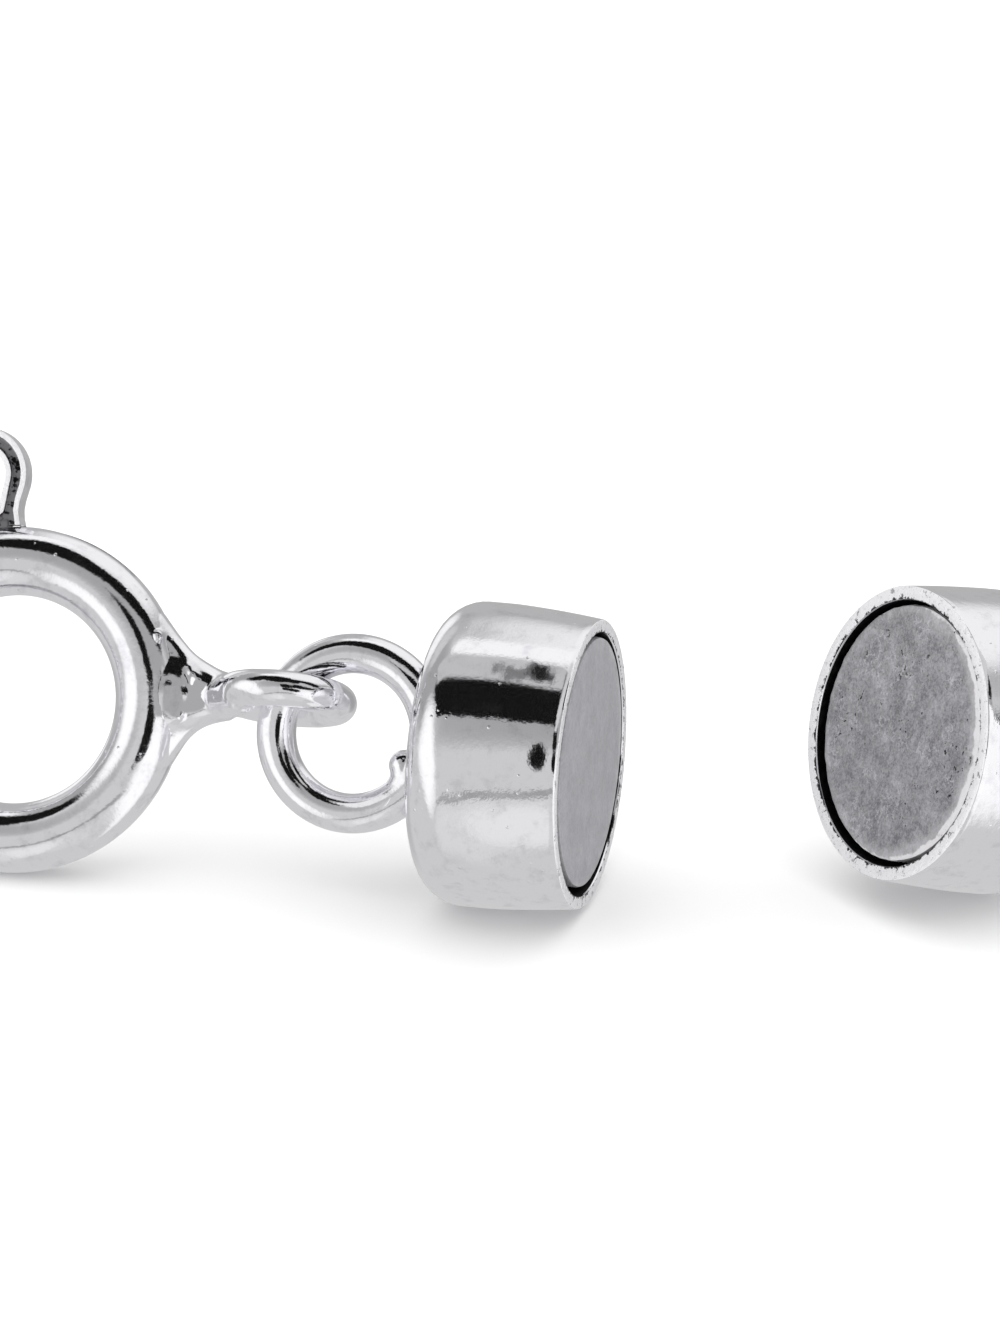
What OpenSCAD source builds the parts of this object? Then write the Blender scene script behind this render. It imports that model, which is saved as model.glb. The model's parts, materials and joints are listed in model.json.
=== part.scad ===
// Magnetic clasp for a chain, laid out unfastened. One half is a spring ring linked to the ring of
// a magnet cup, the other half is the facing magnet cup with a ring for the chain.
// Millimetres, +Z up, X along the row, Y away from the viewer. The origin lies on the resting
// surface under the middle of the row.

/* [Spring ring] */
// Outside diameter of the spring ring
ring_od = 7; // [6.2:0.1:8.5]
// Outside diameter of the ring's tube
tube_d = 1.4; // [1.2:0.05:1.7]
// Wall of the tube
tube_wall = 0.2; // [0.14:0.01:0.24]
// Start of the opening, in degrees round the ring from the soldered loop
gate_from = 112; // [110:1:116]
// Angle of the opening
gate_angle = 44; // [34:1:50]

/* [Soldered loop] */
// Outside diameter of the soldered loop
loop_od = 2.85; // [2.8:0.05:3.4]
// Wire of the soldered loop
loop_wire = 0.72; // [0.6:0.02:0.76]
// Length of the neck between the tube and the loop
neck_l = 0.68; // [0.6:0.02:1]
// Height of the solder neck between the tube and the loop
neck_h = 0.96; // [0.8:0.02:1.1]
// Thickness of the solder web
web_t = 0.8; // [0.6:0.05:1]
// Radius of the solder fillets between the tube and the neck
fillet_r = 1; // [0.6:0.05:1.1]
// Depth by which soldered pieces run into each other
weld = 0.05; // [0.03:0.01:0.08]
// Turn of the loop about the neck, in degrees
loop_twist = 8; // [4:1:10]
// Droop of the loop against the neck, in degrees
loop_droop = 4; // [0:1:6]

/* [Bolt] */
// Radial running clearance of the bolt in the tube
bolt_clearance = 0.05; // [0.03:0.01:0.08]
// Angle by which the closed bolt enters the far end of the tube
tip_angle = 3.5; // [2:0.5:5]
// Angle of the bolt behind the trigger's middle
tail_angle = 11; // [9:1:14]

/* [Trigger] */
// Place of the trigger at rest, in degrees round the ring from the soldered loop
trigger_at = 99.4; // [98:0.1:102]
// Diameter of the trigger's head
head_d = 1.94; // [1.7:0.02:2.2]
// Height of the head's middle above the tube
head_h = 1.11; // [0.9:0.01:1.3]
// Thickness of the head over its raised rims
head_t = 0.48; // [0.44:0.02:0.7]
// Width of the neck under the head
neck_w = 1.54; // [1.4:0.02:1.66]
// Distance from the head's middle down to the neck
neck_drop = 0.83; // [0.7:0.01:0.9]
// Width of the raised outer rim
rim_w = 0.12; // [0.08:0.01:0.14]
// Width of the raised rim round the keyhole
key_rim_w = 0.12; // [0.08:0.01:0.14]
// Depth of the groove between the rims
groove_depth = 0.1; // [0.06:0.01:0.14]
// Diameter of the keyhole's round end
key_d = 1.06; // [0.8:0.02:1.1]
// Width of the keyhole's foot
key_foot_w = 0.54; // [0.4:0.02:0.6]
// Distance from the head's middle down to the keyhole's foot
key_drop = 0.8; // [0.7:0.01:0.84]
// Width of the stem that runs in the tube's slot, round the ring
stem_l = 0.8; // [0.6:0.05:0.9]
// Thickness of the stem
stem_t = 0.42; // [0.38:0.02:0.44]
// Clearance of the stem in the slot and of the head over the tube
slot_clearance = 0.05; // [0.04:0.01:0.08]
// Diameter of the peg that holds the trigger in the bolt
peg_d = 0.36; // [0.3:0.02:0.4]
// Gap between seated pieces
seat_gap = 0.02; // [0.01:0.01:0.04]

/* [Magnets] */
// Diameter of each magnet
magnet_d = 5; // [4:0.1:6]
// Thickness of each magnet
magnet_t = 2.8; // [2:0.1:3.4]
// Broken edge of each magnet
magnet_edge = 0.08; // [0.04:0.01:0.15]
// Gap round each magnet in its cup
magnet_gap = 0.13; // [0.08:0.01:0.2]
// Depth of each magnet's face below the lip
recess = 0.1; // [0.04:0.02:0.2]

/* [Cups] */
// Wall of the cup's body
cup_wall = 0.42; // [0.34:0.01:0.5]
// Wall of the cup at its lip
lip_wall = 0.26; // [0.2:0.01:0.3]
// Length over which the body draws in to the lip
crimp_l = 1.9; // [1:0.1:2]
// Thickness of the cup's back
back_t = 0.28; // [0.28:0.02:0.5]
// Radius of the cup's back corner
corner_r = 0.85; // [0.5:0.05:1.1]

/* [Cup rings] */
// Outside diameter of the ring soldered to each cup
cup_ring_od = 4; // [3.8:0.1:4.6]
// Wire of the ring soldered to each cup
cup_ring_wire = 0.8; // [0.7:0.02:0.86]
// Distance of the wire's middle from the cup's back
solder_gap = 0.15; // [0.13:0.01:0.24]

/* [Layout] */
// Lean of the spring ring away from the viewer
spring_lean = 23; // [18:1:28]
// Turn of the spring ring's loop toward the viewer
spring_yaw = 14; // [12:1:18]
// Roll of the spring ring that lifts its loop
spring_roll = 5; // [4:0.1:8]
// Clearance of the loop over the ring that it holds, along the neck
link_slip = 0.03; // [0:0.01:0.08]
// Turn of the first cup's mouth toward the viewer
cup_yaw = 15; // [10:1:20]
// Turn of the first cup's ring toward the viewer
cup_ring_yaw = 16.5; // [12:0.5:18]
// Lean of the first cup's ring away from the viewer
cup_ring_lean = 20; // [14:1:24]
// Rise of the first cup's ring above its solder joint
cup_ring_rise = 5.7; // [4:0.1:10]
// Turn of the facing cup's mouth toward the viewer
free_yaw = 32; // [26:1:38]
// Rise of the facing cup's mouth
free_rise = 15.8; // [10:0.1:20]
// Distance along the row between the middles of the two mouths
mouth_gap = 6.07; // [5:0.01:12]
// Distance by which the facing mouth lies further back
mouth_offset = 0.31; // [0:0.01:1]

/* [Hidden] */
$fn = 96;

tube_r = tube_d / 2;
spring_r = ring_od / 2 - tube_r;
bore_r = tube_r - tube_wall;
bolt_r = bore_r - bolt_clearance;
gate_to = gate_from + gate_angle;
bolt_travel = gate_angle + tip_angle;

// the stem and its slot, in degrees round the ring
stem_angle = 2 * asin(stem_l / ring_od);
slot_slack = slot_clearance / (ring_od / 2) * 180 / PI;
slot_angle = bolt_travel + stem_angle + 2 * slot_slack;
slot_from = trigger_at - bolt_travel - stem_angle / 2 - slot_slack;
slot_w = stem_t + 2 * slot_clearance;
stem_foot = spring_r + bolt_r + seat_gap;
peg_depth = bolt_r;

loop_wire_r = loop_wire / 2;
loop_r = loop_od / 2 - loop_wire_r;
loop_at = ring_od / 2 + neck_l + loop_od / 2;

head_r = head_d / 2;
head_at = ring_od / 2 + head_h;

bore_d = magnet_d + 2 * magnet_gap;
cup_r = bore_d / 2 + cup_wall;
lip_r = bore_d / 2 + lip_wall;
magnet_foot = back_t + seat_gap;
cup_l = magnet_foot + magnet_t + recess;
cup_ring_wire_r = cup_ring_wire / 2;
cup_ring_r = cup_ring_od / 2 - cup_ring_wire_r;

// directions in a flat ring that is turned toward the viewer and leans away
function along(yaw) = [cos(yaw), -sin(yaw), 0];
function up(yaw, lean) = [sin(lean) * sin(yaw), sin(lean) * cos(yaw), cos(lean)];
// half the extent along X of a ring of wire in that plane
function reach(r, wire_r, yaw, lean) = r * sqrt(1 - pow(sin(yaw) * cos(lean), 2)) + wire_r;

// the first cup lies on its side, its ring rises from the solder joint
first_mouth = [0, 0, cup_r];
first_back = first_mouth - cup_l * along(cup_yaw);
first_joint = first_back - solder_gap * along(cup_yaw);
first_ring = first_joint - cup_ring_r * cos(cup_ring_rise) * along(cup_ring_yaw)
    + cup_ring_r * sin(cup_ring_rise) * up(cup_ring_yaw, cup_ring_lean);

// the spring ring stands on the surface, its loop hangs on the first cup's ring
spring_z = spring_r * cos(spring_lean) + tube_r;
loop_way = cos(spring_roll) * along(spring_yaw) + sin(spring_roll) * up(spring_yaw, spring_lean);
link_rise = spring_z + (loop_at - link_slip) * loop_way.z - first_ring.z;
link_angle = asin(link_rise / (cup_ring_r * cos(cup_ring_lean)));
link = first_ring - cup_ring_r * cos(link_angle) * along(cup_ring_yaw)
    + cup_ring_r * sin(link_angle) * up(cup_ring_yaw, cup_ring_lean);
spring_c = link + (link_slip - loop_at) * loop_way;

// the facing cup rests on its rear corner
rear_z = corner_r + (cup_r - corner_r) * cos(free_rise) - corner_r * sin(free_rise);
free_mouth = [mouth_gap, mouth_offset, rear_z + cup_l * sin(free_rise)];
free_ring_x = free_mouth.x + (cup_l + solder_gap + cup_ring_r) * cos(free_yaw) * cos(free_rise);

// the middle of the row
row_left = spring_c.x - reach(spring_r, tube_r, spring_yaw, spring_lean);
row_right = free_ring_x + reach(cup_ring_r, cup_ring_wire_r, free_yaw, 0);
row_front = -lip_r * cos(cup_yaw);
row_back = spring_c.y + (head_at + head_r) * up(spring_yaw, spring_lean).y
    + head_t / 2 * cos(spring_lean) * cos(spring_yaw);
row_middle = [(row_left + row_right) / 2, (row_front + row_back) / 2, 0];

module at_spring_ring() {
    translate(spring_c - row_middle)
        rotate([0, 0, -spring_yaw])
            rotate([90 - spring_lean, 0, 0])
                rotate([0, 0, spring_roll])
                    children();
}

// a cup's own frame: X runs out of the mouth, Z is up
module at_first_cup() {
    translate(first_mouth - row_middle)
        rotate([0, 0, -cup_yaw])
            children();
}

module at_free_cup() {
    translate(free_mouth - row_middle)
        rotate([0, -free_rise, 180 + free_yaw])
            children();
}

module wire_ring(r, wire_r) {
    rotate_extrude()
        translate([r, 0])
            circle(r = wire_r);
}

// profile between the tube and the loop, with a fillet above and below
module web_profile() {
    fillet_y = neck_h / 2 + fillet_r;
    fillet_x = sqrt(pow(ring_od / 2 - weld + fillet_r, 2) - pow(fillet_y, 2));
    fillet_share = (ring_od / 2 - weld) / (ring_od / 2 - weld + fillet_r);
    fillet_end = fillet_y * fillet_share;
    web_to = loop_at - loop_r;
    end_h = loop_wire_r - weld / 2;
    difference() {
        translate([spring_r, -fillet_end])
            square([fillet_x - spring_r, 2 * fillet_end]);
        for (side = [-1, 1])
            translate([fillet_x, side * fillet_y])
                circle(r = fillet_r);
    }
    polygon([[fillet_x - weld, -neck_h / 2], [web_to, -end_h],
        [web_to, end_h], [fillet_x - weld, neck_h / 2]]);
}

// the web runs into the wall of the tube and stops short of the bore
module solder_web() {
    stop_r = bore_r + tube_wall / 2;
    difference() {
        translate([0, 0, -web_t / 2])
            linear_extrude(web_t)
                web_profile();
        wire_ring(spring_r, stop_r);
        cylinder(r = spring_r, h = 2 * tube_d, center = true);
    }
}

module spring_ring() {
    color("silver")
        at_spring_ring() {
            difference() {
                rotate([0, 0, gate_to])
                    rotate_extrude(angle = 360 - gate_angle)
                        translate([spring_r, 0])
                            difference() {
                                circle(r = tube_r);
                                circle(r = bore_r);
                            }
                rotate([0, 0, slot_from])
                    rotate_extrude(angle = slot_angle)
                        translate([spring_r, -slot_w / 2])
                            square([tube_d, slot_w]);
            }
            solder_web();
            translate([loop_at, 0, 0])
                rotate([90 - loop_twist, 0, 0])
                    rotate([0, -loop_droop, 0])
                        wire_ring(loop_r, loop_wire_r);
        }
}

module bolt() {
    bolt_from = trigger_at - tail_angle;
    color("silver")
        at_spring_ring()
            difference() {
                rotate([0, 0, bolt_from])
                    rotate_extrude(angle = gate_to + tip_angle - bolt_from)
                        translate([spring_r, 0])
                            circle(r = bolt_r);
                rotate([0, 0, trigger_at])
                    translate([stem_foot - seat_gap - peg_depth, 0, 0])
                        rotate([0, 90, 0])
                            cylinder(d = peg_d + 2 * seat_gap, h = 2 * peg_depth);
            }
}

// outline of the head, X round the ring and Y outward from the head's middle
module head_outline(inset) {
    shoulder = head_r / 2;
    shoulder_w = sqrt(pow(head_r, 2) - pow(shoulder, 2)) - inset;
    waist = neck_w / 2 - inset;
    circle(r = head_r - inset);
    polygon([[-shoulder_w, -shoulder], [-waist, -neck_drop], [-waist, -head_h + inset],
        [waist, -head_h + inset], [waist, -neck_drop], [shoulder_w, -shoulder]]);
}

module keyhole(grow) {
    top_w = key_d / 2 - seat_gap + grow;
    foot_w = key_foot_w / 2 + grow;
    foot = -key_drop - grow;
    circle(r = key_d / 2 + grow);
    polygon([[-top_w, 0], [-foot_w, foot], [foot_w, foot], [top_w, 0]]);
}

module trigger() {
    color("silver")
        at_spring_ring()
            rotate([0, 0, trigger_at - 90]) {
                difference() {
                    translate([0, head_at, -head_t / 2])
                        linear_extrude(head_t)
                            head_outline(0);
                    for (side = [0, 1])
                        mirror([0, 0, side])
                            translate([0, head_at, head_t / 2 - groove_depth])
                                linear_extrude(head_t)
                                    difference() {
                                        head_outline(rim_w);
                                        keyhole(key_rim_w);
                                    }
                    translate([0, head_at, -head_t])
                        linear_extrude(2 * head_t)
                            keyhole(0);
                    cylinder(r = ring_od / 2 + slot_clearance, h = 2 * head_t, center = true);
                }
                rotate([0, 0, 90 - stem_angle / 2])
                    rotate_extrude(angle = stem_angle)
                        translate([stem_foot, -stem_t / 2])
                            square([ring_od / 2 + 2 * slot_clearance - stem_foot, stem_t]);
                translate([0, stem_foot + seat_gap, 0])
                    rotate([90, 0, 0])
                        cylinder(d = peg_d, h = peg_depth + seat_gap);
            }
}

module cup_profile() {
    corner_x = cup_r - corner_r;
    difference() {
        union() {
            polygon([[0, 0], [corner_x, 0], [cup_r, corner_r], [cup_r, cup_l - crimp_l],
                [lip_r, cup_l], [0, cup_l]]);
            translate([corner_x, corner_r])
                circle(r = corner_r);
        }
        translate([0, back_t])
            square([bore_d / 2, cup_l]);
    }
}

module magnet_profile() {
    magnet_r = magnet_d / 2;
    polygon([[0, 0], [magnet_r - magnet_edge, 0], [magnet_r, magnet_edge],
        [magnet_r, magnet_t - magnet_edge], [magnet_r - magnet_edge, magnet_t], [0, magnet_t]]);
}

module cup() {
    translate([-cup_l, 0, 0])
        rotate([0, 90, 0])
            rotate_extrude()
                cup_profile();
}

module magnet() {
    translate([magnet_foot - cup_l, 0, 0])
        rotate([0, 90, 0])
            rotate_extrude()
                magnet_profile();
}

// ring soldered to the back, turned and leaning against the cup, rising from its joint
module soldered_ring(turn, lean, rise) {
    translate([-cup_l - solder_gap, 0, 0])
        rotate([90 - lean, 0, turn])
            rotate([0, 0, -rise])
                translate([-cup_ring_r, 0, 0])
                    wire_ring(cup_ring_r, cup_ring_wire_r);
}

module ring_side_cup() {
    color("silver")
        at_first_cup() {
            cup();
            soldered_ring(cup_yaw - cup_ring_yaw, cup_ring_lean, cup_ring_rise);
        }
}

module ring_side_magnet() {
    color("gray")
        at_first_cup()
            magnet();
}

module free_side_cup() {
    color("silver")
        at_free_cup() {
            cup();
            soldered_ring(0, 0, 0);
        }
}

module free_side_magnet() {
    color("gray")
        at_free_cup()
            magnet();
}

spring_ring();
bolt();
trigger();
ring_side_cup();
ring_side_magnet();
free_side_cup();
free_side_magnet();
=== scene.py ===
import json
import math
import bmesh
import bpy
from mathutils import Matrix, Vector


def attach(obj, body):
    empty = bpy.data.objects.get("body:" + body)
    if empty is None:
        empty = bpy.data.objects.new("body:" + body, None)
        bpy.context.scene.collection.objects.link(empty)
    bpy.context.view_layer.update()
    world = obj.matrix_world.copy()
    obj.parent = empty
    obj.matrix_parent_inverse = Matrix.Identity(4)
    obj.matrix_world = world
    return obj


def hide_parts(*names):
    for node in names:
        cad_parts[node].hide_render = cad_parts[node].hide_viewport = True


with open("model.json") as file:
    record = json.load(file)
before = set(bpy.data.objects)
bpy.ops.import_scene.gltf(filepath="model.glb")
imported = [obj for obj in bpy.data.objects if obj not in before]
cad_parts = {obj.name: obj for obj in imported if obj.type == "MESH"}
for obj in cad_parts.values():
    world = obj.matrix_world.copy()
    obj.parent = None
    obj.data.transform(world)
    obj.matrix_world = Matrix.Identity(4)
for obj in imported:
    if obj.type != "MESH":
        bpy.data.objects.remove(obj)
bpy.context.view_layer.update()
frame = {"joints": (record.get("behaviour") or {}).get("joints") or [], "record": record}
print("frame loaded")

# Everything is modelled in millimetres about its own middle, then shrunk to metres where it belongs.
mm = 0.001
mounts = {mount["name"]: mount for mount in frame["record"]["mounts"]}
slide = next(joint for joint in frame["joints"] if joint["name"] == "bolt_slide")

layout = {
    "springYaw": 14,       # turn of the spring ring's loop toward the viewer
    "springLean": 23,      # lean of the spring ring away from the viewer
    "springRoll": 5,       # roll that lifts its loop
    "recess": 0.1,         # the solids' magnets lie this far below the lips
    "smoothAngle": 38,     # edges sharper than this stay sharp
    "mergeWithin": 0.0005,
}


def turn(angle, axis):
    return Matrix.Rotation(math.radians(angle), 4, axis)


def shift(x, y, z):
    return Matrix.Translation((x, y, z))


def inMetres(place):
    return Matrix.Scale(mm, 4) @ place


def mouthFrame(mountName):  # X out of the mouth, Z as near upright as it goes
    point = Vector(mounts[mountName]["pos_m"]) / mm
    out = Vector(mounts[mountName]["axis"]).normalized()
    upright = (Vector((0, 0, 1)) - out * out.z).normalized()
    side = upright.cross(out)
    place = Matrix((out, side, upright)).transposed().to_4x4()
    place.translation = point + out * layout["recess"]
    return place


springPlace = (
    Matrix.Translation(Vector(slide["pos_m"]) / mm)
    @ turn(-layout["springYaw"], "Z")
    @ turn(90 - layout["springLean"], "X")
    @ turn(layout["springRoll"], "Z")
)
firstPlace = mouthFrame("first_magnet_face")
facingPlace = mouthFrame("facing_magnet_face")


# Modelling helpers

def nothingSelected():
    if bpy.context.mode != "OBJECT":
        bpy.ops.object.mode_set(mode="OBJECT")
    bpy.ops.object.select_all(action="DESELECT")


def only(piece):
    nothingSelected()
    piece.select_set(True)
    bpy.context.view_layer.objects.active = piece


def named(name):
    piece = bpy.context.object
    piece.name = name
    piece.data.name = name
    return piece


def settle(piece):  # the object's place goes into its mesh
    only(piece)
    bpy.ops.object.transform_apply(location=True, rotation=True, scale=True)
    return piece


def openEdit(piece, kind):
    only(piece)
    bpy.ops.object.mode_set(mode="EDIT")
    bpy.ops.mesh.select_mode(type=kind)


def closeEdit():
    bpy.ops.object.mode_set(mode="OBJECT")


def pick(piece, kind, test):  # in edit mode: selects what passes the test
    bpy.ops.mesh.select_all(action="DESELECT")
    shape = bmesh.from_edit_mesh(piece.data)
    parts = {"VERT": shape.verts, "EDGE": shape.edges, "FACE": shape.faces}[kind]
    for part in parts:
        if test(part):
            part.select_set(True)
    shape.select_flush_mode()
    bmesh.update_edit_mesh(piece.data)


def modify(piece, kind, **values):
    only(piece)
    bpy.ops.object.modifier_add(type=kind)
    modifier = piece.modifiers[-1]
    for key, value in values.items():
        setattr(modifier, key, value)
    bpy.ops.object.modifier_apply(modifier=modifier.name)


def joined(pieces, name):
    nothingSelected()
    for piece in pieces:
        piece.select_set(True)
    bpy.context.view_layer.objects.active = pieces[0]
    if len(pieces) > 1:
        bpy.ops.object.join()
    return named(name)


def combine(piece, other, operation):  # the second piece is used up
    modify(piece, "BOOLEAN", object=other, operation=operation, solver="EXACT")
    bpy.data.objects.remove(other)
    return piece


def outward(piece):
    openEdit(piece, "VERT")
    bpy.ops.mesh.select_all(action="SELECT")
    bpy.ops.mesh.remove_doubles(threshold=layout["mergeWithin"])
    bpy.ops.mesh.normals_make_consistent(inside=False)
    closeEdit()


def finishPiece(piece, place, material, body, node):
    outward(piece)
    bpy.ops.object.shade_smooth_by_angle(angle=math.radians(layout["smoothAngle"]))
    piece.matrix_world = inMetres(place)
    settle(piece)
    piece.data.materials.clear()
    piece.data.materials.append(material)
    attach(piece, body)
    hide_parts(node)
    print("made", piece.name, len(piece.data.polygons))


def paint(piece, material, place, test):  # the faces that pass, by centre and normal in the piece's own frame
    back = inMetres(place).inverted()
    openEdit(piece, "FACE")
    pick(piece, "FACE", lambda face: test(
        back @ face.calc_center_median(), back.to_3x3() @ face.normal * mm))
    bpy.ops.object.material_slot_add()
    piece.active_material = material
    bpy.ops.object.material_slot_assign()
    closeEdit()


def torus(name, radius, wire, place, sides, around):
    nothingSelected()
    bpy.ops.mesh.primitive_torus_add(
        major_radius=radius, minor_radius=wire, major_segments=around, minor_segments=sides)
    piece = named(name)
    piece.matrix_world = place
    return settle(piece)


def ball(name, centre, size):
    nothingSelected()
    bpy.ops.mesh.primitive_ico_sphere_add(subdivisions=4, radius=1, location=centre)
    piece = named(name)
    piece.scale = size
    return settle(piece)


def branch(name, points):  # a wire along the points, each x, y, z and the wire's radius there
    nothingSelected()
    bpy.ops.curve.primitive_nurbs_path_add()
    path = named(name)
    path.data.bevel_depth = 1
    path.data.bevel_resolution = 8
    path.data.resolution_u = 12
    path.data.use_fill_caps = True
    line = path.data.splines[0]
    line.points.add(max(0, len(points) - len(line.points)))
    line.order_u = 3
    line.use_endpoint_u = True
    for point, (x, y, z, radius) in zip(line.points, points):
        point.co = (x, y, z, 1)
        point.radius = radius
    bpy.ops.object.convert(target="MESH")
    return bpy.context.object


def lathe(name, stations, sides):  # rings at x with a radius, about the X axis, closed at both ends
    nothingSelected()
    x, radius = stations[0]
    bpy.ops.mesh.primitive_circle_add(
        vertices=sides, radius=radius, fill_type="NGON", location=(x, 0, 0), rotation=(0, math.pi / 2, 0))
    piece = settle(named(name))
    openEdit(piece, "VERT")
    bpy.ops.mesh.select_all(action="SELECT")
    bpy.ops.mesh.select_mode(type="EDGE")
    for nextX, nextRadius in stations[1:]:
        bpy.ops.mesh.extrude_edges_move(TRANSFORM_OT_translate={"value": (nextX - x, 0, 0)})
        share = nextRadius / radius
        bpy.ops.transform.resize(value=(1, share, share), center_override=(nextX, 0, 0))
        x, radius = nextX, nextRadius
    bpy.ops.mesh.edge_face_add()
    closeEdit()
    outward(piece)
    return piece


def fused(pieces, name, voxel, rounds):  # melts overlapping shapes into one skin, as solder does
    piece = joined(pieces, name)
    modify(piece, "REMESH", mode="VOXEL", voxel_size=voxel, adaptivity=0)
    modify(piece, "SMOOTH", factor=0.5, iterations=rounds)
    return piece


def waved(piece, size, height, seed):  # slow waves, as in metal that was hammered or ground
    texture = bpy.data.textures.new("waves", "CLOUDS")
    texture.noise_scale = size
    texture.noise_depth = 1
    nothingSelected()
    bpy.ops.object.empty_add(location=(seed, seed * 0.7, 0))
    origin = bpy.context.object
    modify(piece, "DISPLACE", texture=texture, strength=height, mid_level=0.5,
           texture_coords="OBJECT", texture_coords_object=origin)
    bpy.data.objects.remove(origin)
    bpy.data.textures.remove(texture)


# Shader helpers

class Wire:  # a socket that can be written in sums
    def __init__(self, graph, socket):
        self.graph = graph
        self.socket = socket

    def sum(self, operation, *values):
        return self.graph.node("ShaderNodeMath", {"operation": operation}, dict(enumerate(values)))

    def __add__(self, other):
        return self.sum("ADD", self, other)

    def __radd__(self, other):
        return self.sum("ADD", other, self)

    def __sub__(self, other):
        return self.sum("SUBTRACT", self, other)

    def __rsub__(self, other):
        return self.sum("SUBTRACT", other, self)

    def __mul__(self, other):
        return self.sum("MULTIPLY", self, other)

    def __rmul__(self, other):
        return self.sum("MULTIPLY", other, self)

    def __pow__(self, other):
        return self.sum("POWER", self, other)

    def __rpow__(self, other):
        return self.sum("POWER", other, self)

    def __abs__(self):
        return self.sum("ABSOLUTE", self)


class Graph:  # a node tree under construction
    def __init__(self, tree):
        self.tree = tree

    def node(self, kind, settings=None, inputs=None, output=0):
        made = self.tree.nodes.new(kind)
        for key, value in (settings or {}).items():
            if key == "stops":
                for stop, (position, shade) in zip(made.color_ramp.elements, value):
                    stop.position = position
                    stop.color = (*shade, 1)
            else:
                setattr(made, key, value)
        for key, value in (inputs or {}).items():
            self.feed(made.inputs[key], value)
        return Wire(self, made.outputs[output])

    def feed(self, socket, value):
        if isinstance(value, Wire):
            self.tree.links.new(value.socket, socket)
        else:
            socket.default_value = value

    def parts(self, vector):  # its x, y and z
        split = self.node("ShaderNodeSeparateXYZ", {}, {0: vector}).socket.node
        return [Wire(self, output) for output in split.outputs]

    def smooth(self, value, low, high):
        return self.node("ShaderNodeMapRange", {"interpolation_type": "SMOOTHSTEP"},
                         {"Value": value, "From Min": low, "From Max": high})

    def blend(self, share, first, second):
        return self.node("ShaderNodeMix", {"data_type": "RGBA"}, {0: share, 6: first, 7: second}, 2)

    def ramp(self, value, low, high):  # two stops, each a place and a colour
        return self.node("ShaderNodeValToRGB", {"stops": [low, high]}, {"Fac": value}, "Color")


class Finish(Graph):  # a material under construction
    def __init__(self, name):
        self.material = bpy.data.materials.new(name)
        self.material.use_nodes = True
        super().__init__(self.material.node_tree)
        self.shader = self.tree.nodes["Principled BSDF"]
        self.place = self.node("ShaderNodeTexCoord", output="Object")

    def give(self, name, value):
        self.feed(self.shader.inputs[name], value)

    def noise(self, grain, detail=2, roughness=0.5):  # grain is the size of a lump in millimetres
        return self.node("ShaderNodeTexNoise", {}, {
            "Vector": self.place, "Scale": 1 / (grain * mm), "Detail": detail, "Roughness": roughness})

    def dots(self, spacing):
        return self.node("ShaderNodeTexVoronoi", {},
                         {"Vector": self.place, "Scale": 1 / (spacing * mm)}, "Distance")

    def distance(self, place):  # in metres, from the middle of a place in millimetres
        return self.node("ShaderNodeVectorMath", {"operation": "DISTANCE"},
                         {0: self.place, 1: tuple(place.translation * mm)}, "Value")

    def bump(self, height, depth):  # depth in millimetres
        self.give("Normal", self.node(
            "ShaderNodeBump", {}, {"Strength": 1.0, "Distance": depth * mm, "Height": height}, "Normal"))


# Finishes. A noise is the size of its lumps in millimetres, its detail and its roughness.
# An edge is where a mask starts and where it is full.

silverLook = {
    "tone": (0.955, 0.952, 0.98, 1),
    "dullTone": (0.80, 0.795, 0.83, 1),
    "dullPatches": (0.4, 4, 0.65),
    "dullEdge": (0.48, 0.78),
    "roughness": 0.07,
    "dullRoughness": 0.05,        # added where it is dull
    "ripple": (0.24, 1),
    "grain": (0.075, 2, 0.6),
    "swell": (0.9, 1),
    "pimpleSpacing": 0.3,
    "pimpleEdge": (0.05, 0.13),
    "pimplePatches": (0.5, 0),
    "pimplePatchEdge": (0.52, 0.58),
    "heights": (0.8, 0.8, 1.2, 4),    # of ripple, grain, swell and pimples
    "depth": 0.0024,
}


def makeSilver():
    look = silverLook
    finish = Finish("polishedSilver")
    ripple = finish.noise(*look["ripple"])
    grain = finish.noise(*look["grain"])
    swell = finish.noise(*look["swell"])
    pimple = 1 - finish.smooth(finish.dots(look["pimpleSpacing"]), *look["pimpleEdge"])
    chosen = finish.smooth(finish.noise(*look["pimplePatches"]), *look["pimplePatchEdge"])
    dull = finish.smooth(finish.noise(*look["dullPatches"]), *look["dullEdge"])
    finish.give("Base Color", finish.blend(dull, look["tone"], look["dullTone"]))
    finish.give("Metallic", 1)
    finish.give("Roughness", look["roughness"] + dull * look["dullRoughness"])
    forRipple, forGrain, forSwell, forPimples = look["heights"]
    finish.bump(ripple * forRipple + grain * forGrain + swell * forSwell + pimple * chosen * forPimples,
                look["depth"])
    return finish.material


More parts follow.
